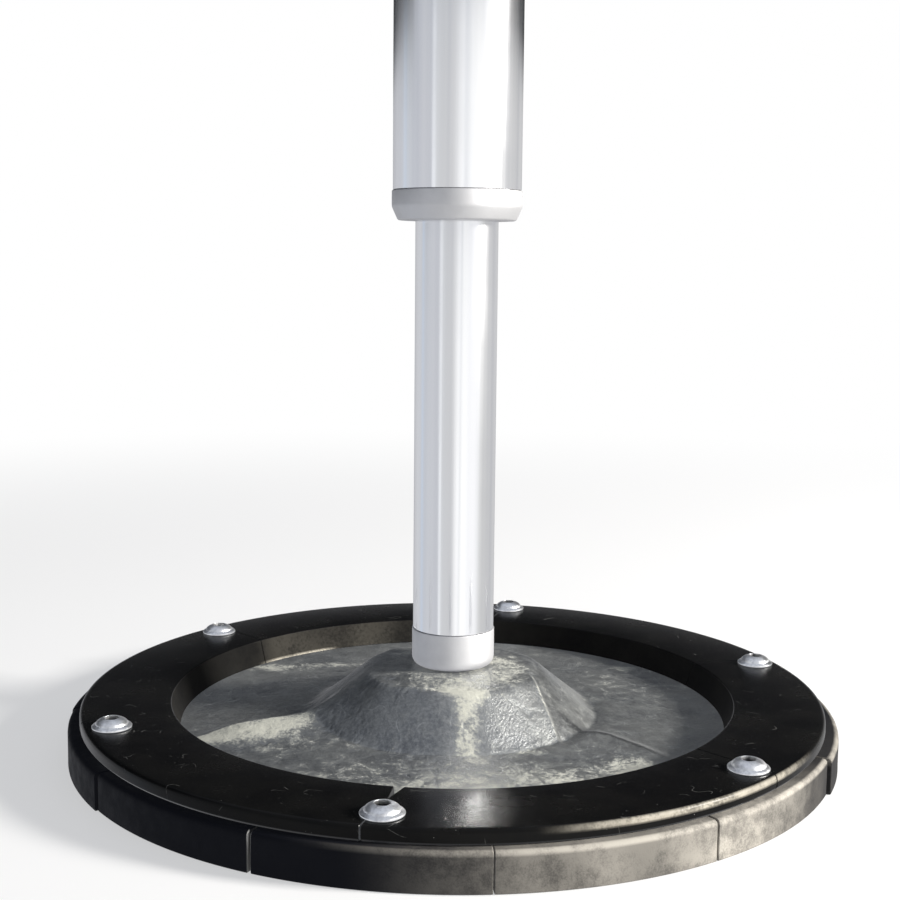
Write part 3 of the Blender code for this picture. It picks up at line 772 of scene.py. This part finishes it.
def plate_masks(points, plate_top):
    """Where pale oxide lies together with a painted highlight streak, where the metal is scraped, and where
    shade is painted dark.
    """
    x, y, z = points[:, 0], points[:, 1], points[:, 2]
    radius, turn = polar(x, y)
    dust_and_painted_light = 0.20 + 0.26 * rough_noise(points, 0.035, 5)
    # Bright fans of oxide: (x, y, reach along x, reach along y, amount)
    patches = (
        (-0.030, -0.040, 0.012, 0.005, 0.45),
        (-0.006, -0.049, 0.014, 0.004, 0.55),
        (0.016, -0.049, 0.016, 0.004, 0.55),
        (0.034, -0.036, 0.010, 0.006, 0.15),
        (0.030, 0.044, 0.016, 0.010, 0.35),
        (-0.122, -0.060, 0.026, 0.016, 0.20),
        (-0.090, -0.066, 0.030, 0.018, 0.20),
        (-0.058, -0.104, 0.020, 0.012, 0.25),
        (0.100, -0.092, 0.018, 0.014, 0.60),
        (0.070, -0.110, 0.034, 0.016, 0.45),
        (0.040, -0.076, 0.012, 0.005, 0.45),
        (-0.075, 0.098, 0.030, 0.008, 0.45),
        (-0.120, 0.092, 0.016, 0.007, 0.55),
        (0.114, 0.098, 0.008, 0.006, 0.6),
        (0.0, -0.140, 0.110, 0.026, 0.50),
    )
    for px, py, rx, ry, amount in patches:
        dust_and_painted_light = dust_and_painted_light + amount * band(x, px, rx) * band(y, py, ry)
    # Painted highlight: a bright streak down the hub's front, added to the pale film
    painted_streak = band(x, 0.009, 0.010) * smooth(-y, 0.046, 0.052) * (1.0 - smooth(-y, 0.084, 0.10))
    dust_and_painted_light = dust_and_painted_light + 0.60 * painted_streak
    # Painted shade: less pale film on the hub's shaded left side
    shade_side = smooth(-x, 0.010, 0.045) * (1.0 - smooth(np.abs(y - 0.020), 0.045, 0.070))
    dust_and_painted_light = dust_and_painted_light * (1.0 - 0.8 * shade_side)
    edge = from_scrape(x, y)
    flank = smooth(radius, 0.050, 0.055) * (1.0 - smooth(radius, 0.083, 0.088))
    scar = flank * smooth(x, 0.012, 0.024) * (1.0 - smooth(edge, -0.001, 0.001)) * (y < 0.0)
    rim_line = band(edge, 0.0, 0.0011) * flank * (y < 0.0)
    dust_and_painted_light = dust_and_painted_light + 0.6 * rim_line
    # Painted shade on the narrow face that drops away beside the scraped edge
    face = smooth(edge, 0.0005, 0.0020) * (1.0 - smooth(edge, 0.010, 0.022))
    face = face * flank * (turn > -1.1) * (turn < 0.1)

    # Painted shade in the crease along the right rib, in the nook where it meets the hub and behind the left
    # rib, and pale dust in front of the left one
    along, across = rib_place(x, y, RIBS[0][0], RIBS[0][3])
    crease = band(across, 0.0004, 0.0024) * smooth(along, 0.070, 0.082) * (1.0 - smooth(along, 0.12, 0.15))
    nook = band(radius, 0.0880, 0.0045) * band(angle_between(turn, -0.55), 0.0, 0.22)
    along, across = rib_place(x, y, RIBS[2][0], RIBS[2][3])
    behind = smooth(-across, 0.0, 0.0040) * (1.0 - smooth(-across, 0.030, 0.075))
    behind = behind * smooth(along, 0.055, 0.075) * (1.0 - 0.5 * smooth(along, 0.13, 0.16))
    fan = smooth(across, -0.0005, 0.0010) * (1.0 - smooth(across, 0.008, 0.030))
    fan = fan * smooth(along, 0.078, 0.092)
    dust_and_painted_light = dust_and_painted_light + 0.62 * fan
    # Painted shade on the hub's smooth front-left side, which also gets less pale film
    shaded_smooth_side = smooth(turn, math.radians(-165.0), math.radians(-150.0))
    shaded_smooth_side = shaded_smooth_side * (1.0 - smooth(x, -0.008, 0.002))
    shaded_smooth_side = shaded_smooth_side * smooth(radius, 0.050, 0.056) * (1.0 - smooth(radius, 0.082, 0.088))
    dust_and_painted_light = dust_and_painted_light * (1.0 - 0.7 * shaded_smooth_side) * (1.0 - 0.6 * scar)
    dust_and_painted_light = dust_and_painted_light + 0.30 * (1.0 - smooth(radius, 0.040, 0.050))
    # All painted shade: crease, nook, behind the left rib, the flank face and the shaded side
    painted_shade = 0.40 * face + 0.95 * crease + 0.5 * nook + 0.32 * behind + 0.22 * shaded_smooth_side
    wall = smooth(z, plate_top - 0.0012, plate_top - 0.0004)
    masks = (np.clip(dust_and_painted_light, 0.0, 1.3), np.clip(scar + 0.12 * wall, 0.0, 1.0), np.clip(painted_shade, 0.0, 0.8))
    return [mask * wall for mask in masks]


def make_plate(material, bores):
    """Iron plate with the hub's cast form on top and a plain underside."""
    bottom, top = (corner.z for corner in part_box("base_plate"))
    plate_top = RING_OVER_PLATE - FIT_GAP
    bore, rim = radii("base_plate")
    seen = radii("clamp_ring_1")[0]
    upper = np.concatenate((np.arange(bore, seen + 0.002, PLATE_ROW_STEP), (0.176, 0.190, rim - RIM_EASE)))
    turn = np.arange(PLATE_COLUMNS) * FULL_TURN / PLATE_COLUMNS
    x = upper[:, None] * np.cos(turn)
    y = upper[:, None] * np.sin(turn)
    z = plate_surface(x.ravel(), y.ravel(), top, plate_top).reshape(x.shape)
    z[upper > seen - 0.001] = plate_top
    under = np.array((
        (rim, plate_top - RIM_EASE),
        (rim, RIM_BOTTOM + RIM_EASE),
        (rim - RIM_EASE, RIM_BOTTOM),
        (RIM_STEP_RADIUS, RIM_BOTTOM),
        (RIM_STEP_RADIUS, bottom + RIM_EASE),
        (RIM_STEP_RADIUS - RIM_EASE, bottom),
        (CAVITY_RADIUS + RIM_EASE, bottom),
        (CAVITY_RADIUS, bottom + RIM_EASE),
        (CAVITY_TOP_RADIUS, CAVITY_TOP),
        (bore, CAVITY_TOP),
    ))
    points = np.empty((len(upper) + len(under), PLATE_COLUMNS, 3))
    points[: len(upper)] = np.stack((x, y, z), axis=2)
    points[len(upper):, :, 0] = under[:, :1] * np.cos(turn)
    points[len(upper):, :, 1] = under[:, :1] * np.sin(turn)
    points[len(upper):, :, 2] = under[:, 1:]
    faces = grid_faces(len(points), PLATE_COLUMNS, True, True)
    made = finished("plate_casting", points.reshape(-1, 3), faces)
    made = shade(cut(made, bores), math.radians(50.0))
    for mask, values in zip(("dust_and_painted_light", "scar", "painted_shade"), plate_masks(mesh_points(made), plate_top)):
        store(made, mask, values)
    return settle(made, "base", "cast_iron", material, "base_plate")


# ---- rim


def block_outline(outer, top):
    """Section of a rubber block, a C that grips the plate's rim."""
    inner = outer - BLOCK_DEPTH
    groove = outer - GROOVE_DEPTH
    return eased((
        (inner, top, 0.0005),
        (outer, top, BLOCK_SHOULDER_EASE),
        (outer, 0.75 * top, 0.0),
        (outer, 0.50 * top, 0.0),
        (outer, 0.25 * top, 0.0),
        (outer, 0.0, BLOCK_FOOT_EASE),
        (inner, 0.0, 0.0005),
        (inner, GROOVE_LOW, 0.0003),
        (groove, GROOVE_LOW, 0.0004),
        (groove, GROOVE_HIGH, 0.0004),
        (inner, GROOVE_HIGH, 0.0003),
    ))


def make_blocks(material, bores, pockets):
    """The rubber blocks, each with its own slightly uneven wall."""
    names = sorted(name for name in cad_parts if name.startswith("edge_block_"))
    for number, name in enumerate(names):
        points = node_points(name)
        distance = np.hypot(points[:, 0], points[:, 1])
        wall = points[(points[:, 2] > 0.0004) & (points[:, 2] < 0.0030) & (distance > 0.2180)]
        centre, outer = fitted_circle(wall)
        start, end = sector_ends(wall, centre)
        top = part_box(name)[1].z

        def uneven(flat):
            """Shallow dents in the outer wall."""
            reach = np.hypot(flat[:, 0], flat[:, 1])
            share = smooth(reach, outer - 0.004, outer - 0.001) * smooth(flat[:, 2], 0.0, 0.003)
            depth = 0.00010 * (rough_noise(flat + 0.01 * number, 0.020, 3) - 1.0)
            outward = flat[:, :2] / reach[:, None]
            moved = flat.copy()
            moved[:, :2] += outward * (share * depth)[:, None]
            return moved

        label = f"rim_block_{number + 1:02d}"
        made = sector(label, block_outline(outer, top), start, end, BLOCK_COLUMNS, centre, wobble=uneven)
        if number % 2 == 0:
            cut(made, bores, pockets)
        shade(made)
        flat = mesh_points(made)
        direction = np.arctan2(flat[:, 1], flat[:, 0])
        # Painted light: the pale film is strongest where the wall faces the right front, towards the light,
        # with a random mottle, and thinner between -54 and -24 degrees and around -66 degrees
        facing = np.cos(direction - math.radians(-45.0))
        dust_and_painted_light = smooth(facing, 0.52, 1.0) * (0.78 + 0.30 * rough_noise(flat, 0.045, 4))
        dust_and_painted_light = dust_and_painted_light * (1.0 - 0.9 * smooth(direction, math.radians(-54.0), math.radians(-24.0)))
        dust_and_painted_light = dust_and_painted_light * (1.0 - 0.40 * band(angle_between(direction, math.radians(-66.0)), 0.0, 0.10))
        # Painted highlight along the top shoulder on the side facing the light
        lip = smooth(flat[:, 2], top - 0.0030, top - 0.0012) * smooth(facing, 0.40, 0.90)
        dust_and_painted_light = dust_and_painted_light + 0.6 * lip * (flat[:, 2] < top - 0.0001)
        # Painted highlight: a near-white line down one joint, brighter towards the top
        near_joint = np.abs(angle_between(direction, HIGHLIGHT_JOINT)) * outer
        joint_highlight = (1.0 - smooth(near_joint, 0.0007, 0.0011)) * (flat[:, 2] < top - 0.0005)
        store(made, "dust_and_painted_light", np.clip(dust_and_painted_light, 0.0, 1.0))
        store(made, "joint_highlight", joint_highlight * (0.35 + 0.65 * smooth(flat[:, 2], 0.012, 0.018)))
        settle(made, "base", "rubber", material, name)


def ring_outline(foot, inner, outer, top):
    """Section of the clamp ring, stepped over the plate and the blocks, with a leaning inner wall."""
    return eased((
        (inner, top, RING_CORNER_EASE),
        (inner + NOTCH_DEPTH, top, 0.0),
        (outer, top, RING_SHOULDER_EASE),
        (outer, top - 0.0034, 0.0),
        (outer, top - 0.0042, 0.0),
        (outer, RING_OVER_BLOCKS + RING_UNDERCUT, 0.0004),
        (outer - RING_UNDERCUT, RING_OVER_BLOCKS, 0.0),
        (RING_STEP_RADIUS, RING_OVER_BLOCKS, 0.0003),
        (RING_STEP_RADIUS, RING_OVER_PLATE, 0.0003),
        (inner + NOTCH_DEPTH, RING_OVER_PLATE, 0.0),
        (foot, RING_OVER_PLATE, 0.0003),
        (foot + 0.12 * (inner - foot), RING_OVER_PLATE + 0.12 * (top - RING_OVER_PLATE), 0.0),
    ))


def notch_turn(outline, inner):
    """Turn that draws back a segment's end at the notch, one for each outline point."""
    depth = np.maximum(1.0 - (outline[:, 0] - inner) / NOTCH_DEPTH, 0.0)
    return 0.5 * NOTCH_WIDTH * depth / outline[:, 0]


def ring_masks(points, inner, outer, top):
    """Painted light on the ring, and where its skin is matt.

    A faint pale film lies on the inner wall and is painted lit where the key light reaches it, with a
    painted highlight line along its foot; a painted highlight runs along the outer edge that faces the
    light."""
    reach, direction = polar(points[:, 0], points[:, 1])
    wall = (reach < inner + 0.0003) * (points[:, 2] < top - 0.0006)
    # Painted light: the part of the inner wall that the key light reaches
    lit = smooth(direction, math.radians(88.0), math.radians(112.0))
    lit = lit * (1.0 - smooth(direction, math.radians(136.0), math.radians(144.0)))
    dust_and_light_film = wall * (0.01 + 0.10 * lit * (0.7 + 0.3 * rough_noise(points, 0.02, 3)))
    # Painted highlight line along the wall's foot
    foot_highlight = smooth(direction, math.radians(119.0), math.radians(124.0)) * lit
    dust_and_light_film = dust_and_light_film + 0.9 * foot_highlight * wall * (points[:, 2] < RING_OVER_PLATE + 0.0010)
    # Painted highlight along the outer edge, facing the right front towards the light
    facing = smooth(np.cos(direction - math.radians(-54.0)), 0.90, 0.985)
    edge = (reach > outer - 0.0022) * smooth(points[:, 2], top - 0.0040, top - 0.0026)
    edge = edge * (1.0 - smooth(points[:, 2], top - 0.0009, top - 0.0002))
    return dust_and_light_film + 1.2 * edge * facing * (0.75 + 0.25 * rough_noise(points, 0.01, 3)), wall


def make_ring(material, bores):
    """Clamp ring segments with leaning ends, one joint notched."""
    names = sorted(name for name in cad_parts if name.startswith("clamp_ring_"))
    points = node_points(names[0])
    foot, outer = radii(names[0])
    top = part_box(names[0])[1].z
    distance = np.hypot(points[:, 0], points[:, 1])
    inner = distance[points[:, 2] > top - 0.0001].min() - RING_CORNER_EASE
    near = sector_ends(points[distance < foot + 0.0002], (0.0, 0.0))
    far = sector_ends(points[distance > outer - 0.0002], (0.0, 0.0))
    outline = ring_outline(foot, inner, outer, top)
    share = (outline[:, 0] - foot) / (outer - foot)
    for number, name in enumerate(names):
        shift = number * FULL_TURN / len(names)
        start = near[0] + share * angle_between(far[0], near[0]) + shift
        end = near[1] + share * angle_between(far[1], near[1]) + shift
        if abs(angle_between(start.mean(), NOTCHED_JOINT)) < 0.1:
            start = start + notch_turn(outline, inner)
        if abs(angle_between(end.mean(), NOTCHED_JOINT)) < 0.1:
            end = end - notch_turn(outline, inner)
        made = sector(f"ring_segment_{number + 1}", outline, start, end, RING_COLUMNS, ease=0.00025)
        shade(cut(made, bores))
        for mask, values in zip(("dust_and_painted_light", "matt"), ring_masks(mesh_points(made), inner, outer, top)):
            store(made, mask, values)
        settle(made, "base", "ring_plastic", material, name)


def make_screws(material):
    """Button head screws with a flange and a hexagon socket, each turned its own way."""
    names = sorted(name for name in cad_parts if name.startswith("ring_screw_"))
    spin = np.random.default_rng(SEED + 1)
    for name in names:
        low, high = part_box(name)
        centre = 0.5 * (low + high)
        base = RING_OVER_BLOCKS + HEAD_RISE
        outline = [(0.0, high.z)]
        height = high.z - base - FLANGE_HEIGHT
        for step in range(DOME_STEPS):
            lift = math.radians(90.0 - 84.0 * (step + 2) / (DOME_STEPS + 1.0))
            outline.append((DOME_RADIUS * math.cos(lift), base + FLANGE_HEIGHT + height * math.sin(lift)))
        outline += [
            (0.0097, base + FLANGE_HEIGHT),
            (0.0105, base + 0.0013),
            (0.01093, base + 0.0008),
            (0.01085, base + 0.0002),
            (0.0106, base),
            (SHANK_RADIUS, base),
            (SHANK_RADIUS, low.z + 0.0006),
            (SHANK_RADIUS - 0.0006, low.z),
            (0.0, low.z),
        ]
        label = name.replace("ring_screw", "button_screw")
        made = turned(label, np.array(outline), SCREW_COLUMNS, False, centre[:2])
        above = high.z + 0.01
        socket = cylinder_cutter([centre[:2]], SOCKET_RADIUS, high.z - SOCKET_DEPTH, above, 6)
        mouth = cylinder_cutter([centre[:2]], SOCKET_RADIUS, high.z - SOCKET_MOUTH, above, 32)
        socket.data.transform(Matrix.Translation(-centre))
        socket.location = centre
        socket.rotation_euler.z = spin.uniform(0.0, FULL_TURN / 6.0)
        cut(made, socket, mouth)
        remove(socket, mouth)
        shade(made, math.radians(30.0))
        points = mesh_points(made)
        reach = np.hypot(points[:, 0] - centre.x, points[:, 1] - centre.y)
        # Socket walls and floor below the mouth are coloured dark
        store(made, "dark_socket", (reach < SOCKET_RADIUS + 0.0001) * (points[:, 2] < high.z - 0.0010))
        settle(made, "base", "zinc", material, name)


# ---- mast


def make_mast(aluminium, plastic, nylon_material):
    """Foot, tubes, guide, collar and head as fine turned pieces."""
    foot_low, foot_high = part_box("mast_foot")
    tube_low, tube_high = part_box("inner_tube")
    foot_bore, foot_radius = radii("mast_foot")
    tube_bore, tube_radius = radii("inner_tube")
    spigot = radii("mast_foot", tube_low.z + 0.001)[1]
    shoulder = tube_low.z - FIT_GAP
    foot = eased((
        (foot_bore, foot_high.z, 0.0004),
        (spigot, foot_high.z, 0.0015),
        (spigot, shoulder, 0.0),
        (foot_radius, shoulder, 0.0005),
        (foot_radius, foot_low.z, 0.0060),
        (foot_bore, foot_low.z, 0.0),
    ), steps=10)
    settle(turned("foot_cap", foot), "base", "pale_plastic", plastic, "mast_foot")

    tube = eased(tube_corners(tube_radius, tube_bore, tube_low.z, tube_high.z, 0.0003))
    settle(turned("inner_pole", tube), "base", "aluminium", aluminium, "inner_tube")

    low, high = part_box("top_guide")
    guide_bore, flange = radii("top_guide")
    plug = radii("top_guide", low.z - 0.001, low.z + 0.001)[1]
    flange_low = tube_high.z + FIT_GAP
    guide = eased((
        (guide_bore, high.z, 0.0006),
        (flange, high.z, 0.0015),
        (flange, flange_low, 0.0006),
        (plug, flange_low, 0.0),
        (plug, low.z, 0.0006),
        (guide_bore, low.z, 0.0004),
    ))
    settle(turned("guide_cap", guide), "base", "nylon", nylon_material, "top_guide")

    low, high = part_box("mast_collar")
    liner_bore, liner_radius = radii("collar_liner")
    outer_low, outer_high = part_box("outer_tube")
    outer_bore, outer_radius = radii("outer_tube")
    collar_radius = radii("mast_collar")[1]
    spigot = radii("mast_collar", high.z - 0.010, high.z - 0.001)[1]
    ledge = outer_low.z - FIT_GAP
    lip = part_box("collar_liner")[0].z - FIT_GAP
    collar = eased((
        (liner_radius + FIT_GAP, high.z, 0.0003),
        (spigot, high.z, 0.0015),
        (spigot, ledge, 0.0),
        (collar_radius, ledge, 0.0006),
        (collar_radius, low.z + 0.0078, 0.0012),
        (collar_radius - 0.0035, low.z, 0.0012),
        (liner_bore, low.z, 0.0005),
        (liner_bore, lip, 0.0003),
        (liner_radius + FIT_GAP, lip, 0.0),
    ))
    settle(turned("sliding_collar", collar), "collar", "pale_plastic", plastic, "mast_collar")

    tube = eased(tube_corners(outer_radius, outer_bore, outer_low.z, outer_high.z, 0.0003))
    settle(turned("outer_pole", tube), "mast", "aluminium", aluminium, "outer_tube")

    low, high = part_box("mast_head")
    head_radius = radii("mast_head")[1]
    plug = radii("mast_head", low.z - 0.001, low.z + 0.001)
    head_low = outer_high.z + FIT_GAP
    head = eased((
        (0.0, high.z, 0.0),
        (head_radius, high.z, 0.0018),
        (head_radius, head_low, 0.0005),
        (plug[1], head_low, 0.0),
        (plug[1], low.z, 0.0006),
        (plug[0], low.z, 0.0004),
        (plug[0], head_low, 0.0006),
        (0.0, head_low, 0.0),
    ), closed=False)
    settle(turned("head_cap", head, closed=False), "mast", "pale_plastic", plastic, "mast_head")


def tube_corners(radius, bore, low, high, ease):
    """Corners of a plain tube."""
    return ((radius, high, ease), (radius, low, ease), (bore, low, ease), (bore, high, ease))


def dress_cad_nodes(materials):
    """Better materials for the CAD nodes that stay."""
    for name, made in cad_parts.items():
        if made.hide_render:
            continue
        kind = "nylon" if name == "collar_liner" else "zinc"
        if not made.material_slots:
            made.data.materials.append(materials[kind])
        for place in made.material_slots:
            place.material = materials[kind]


# ---- stage


def make_floor():
    """Pale floor that glows, half near the base and fully further out, so it fades into the white
    surroundings and its shadow stays light.
    """
    place = (0.0, 0.0, -0.0002)
    bpy.ops.mesh.primitive_circle_add(vertices=96, radius=30.0, fill_type="NGON", location=place)
    floor = bpy.context.object
    floor.name = "floor"
    material = bpy.data.materials.new("pale_floor")
    material.use_nodes = True
    nodes = Nodes(material.node_tree)
    shader = nodes.tree.nodes["Principled BSDF"]
    for name, value in (("Base Color", (0.86, 0.86, 0.86)), ("Roughness", 0.9), ("Specular IOR Level", 0.1)):
        nodes.put(shader.inputs[name], value)
    glow = nodes.add("Emission")
    nodes.put(glow.inputs["Color"], (1.0, 1.0, 1.0))
    length = nodes.add("VectorMath")
    length.operation = "LENGTH"
    nodes.put(length.inputs[0], nodes.add("TexCoord").outputs["Object"])
    fade = nodes.step(length.outputs["Value"], 0.5, 1.6, 0.5, 1.0)
    blend = nodes.choose(fade, shader.outputs[0], glow.outputs[0])
    nodes.put(nodes.tree.nodes["Material Output"].inputs["Surface"], blend)
    floor.data.materials.append(material)
    floor.visible_glossy = False


def make_world():
    """White surroundings to look at, and a studio to be lit by.

    Reflections see a ring of soft panels round the horizon, dark card above it at the back, and
    a pale ceiling. Matt surfaces get a weaker light, mostly from the front."""
    world = bpy.data.worlds.new("studio")
    bpy.context.scene.world = world
    world.use_nodes = True
    nodes = Nodes(world.node_tree)

    def background(colour):
        """Plain shader of one colour."""
        made = nodes.add("Background")
        nodes.put(made.inputs["Color"], colour)
        return made.outputs[0]

    x, y, z = nodes.axes("Generated")
    bearing = nodes.maths("ARCTAN2", x, nodes.maths("MULTIPLY", y, -1.0))
    bearing = nodes.maths("ADD", nodes.maths("DIVIDE", bearing, FULL_TURN), 0.5)
    panels = nodes.add("ValToRGB")
    nodes.put(panels.inputs[0], bearing)
    stops = panels.color_ramp.elements
    stops[0].position, stops[1].position = 0.0, 1.0
    for degrees, _ in PANELS[1:-1]:
        stops.new(degrees / 360.0 + 0.5)
    for stop, (_, level) in zip(stops, PANELS):
        stop.color = (*level, 1.0)
    high = nodes.mix(nodes.step(y, 0.10, -0.30), DARK_CARD, (0.50, 0.52, 0.56))
    high = nodes.mix(nodes.step(z, 0.60, 0.85), high, CEILING)
    shown = nodes.mix(nodes.step(z, 0.08, 0.13), panels.outputs[0], high)
    side = nodes.mix(nodes.step(x, -0.10, 0.15), (0.36, 0.39, 0.45), (0.62, 0.61, 0.60))
    soft = nodes.mix(nodes.step(y, 0.20, -0.20), (0.13, 0.14, 0.16), side)
    soft = nodes.mix(nodes.step(z, 0.30, 0.85), soft, (0.22, 0.24, 0.28))
    which = nodes.add("LightPath")
    lit = nodes.choose(which.outputs["Is Glossy Ray"], background(soft), background(shown))
    lit = nodes.choose(which.outputs["Is Camera Ray"], lit, background((1.0, 1.0, 1.0)))
    nodes.put(nodes.tree.nodes["World Output"].inputs["Surface"], lit)


def make_key_light():
    """Soft key light from the right and a little in front."""
    towards = Vector((
        math.cos(KEY_ELEVATION) * math.cos(KEY_AZIMUTH),
        math.cos(KEY_ELEVATION) * math.sin(KEY_AZIMUTH),
        math.sin(KEY_ELEVATION),
    ))
    lamp = bpy.data.lights.new("key", "AREA")
    lamp.size = KEY_SIZE
    lamp.energy = KEY_WATTS
    lamp.color = (1.0, 0.97, 0.92)
    made = bpy.data.objects.new("key", lamp)
    bpy.context.scene.collection.objects.link(made)
    made.location = towards * KEY_DISTANCE
    made.rotation_euler = towards.to_track_quat("Z", "Y").to_euler()
    made.visible_camera = False


def make_camera():
    """Camera in front of the base, a little above it."""
    ahead = Vector((
        math.sin(CAMERA_YAW) * math.cos(CAMERA_PITCH),
        math.cos(CAMERA_YAW) * math.cos(CAMERA_PITCH),
        -math.sin(CAMERA_PITCH),
    ))
    right = Vector((math.cos(CAMERA_YAW), -math.sin(CAMERA_YAW), 0.0))
    up = right.cross(ahead)
    across = math.cos(CAMERA_ROLL) * right + math.sin(CAMERA_ROLL) * up
    above = -math.sin(CAMERA_ROLL) * right + math.cos(CAMERA_ROLL) * up
    lens = bpy.data.cameras.new("camera")
    lens.lens = CAMERA_LENS
    lens.sensor_width = SENSOR
    lens.clip_start = 0.05
    made = bpy.data.objects.new("camera", lens)
    bpy.context.scene.collection.objects.link(made)
    turn = Matrix((across, above, -ahead)).transposed().to_4x4()
    made.matrix_world = Matrix.Translation(CAMERA_PLACE) @ turn
    bpy.context.scene.camera = made


# ---- everything


def main():
    """Build the looks around the frame."""
    bpy.context.scene.view_settings.view_transform = "Standard"
    zinc = bright_zinc()
    slide = nylon()
    boxes = [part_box(f"ring_screw_{index + 1}") for index in range(SCREW_COUNT)]
    centres = [(0.5 * (low + high))[:2] for low, high in boxes]
    bores = cylinder_cutter(centres, SCREW_BORE_RADIUS, CUTTER_LOW, CUTTER_HIGH)
    pockets = cylinder_cutter(centres, NUT_POCKET_RADIUS, CUTTER_LOW, NUT_POCKET_TOP)
    make_plate(galvanised_iron(), bores)
    make_blocks(rubber(), bores, pockets)
    make_ring(ring_plastic(), bores)
    make_screws(zinc)
    make_mast(drawn_aluminium(), pale_plastic(), slide)
    dress_cad_nodes({"zinc": zinc, "nylon": slide})
    remove(bores, pockets)
    make_floor()
    make_world()
    make_key_light()
    make_camera()


main()
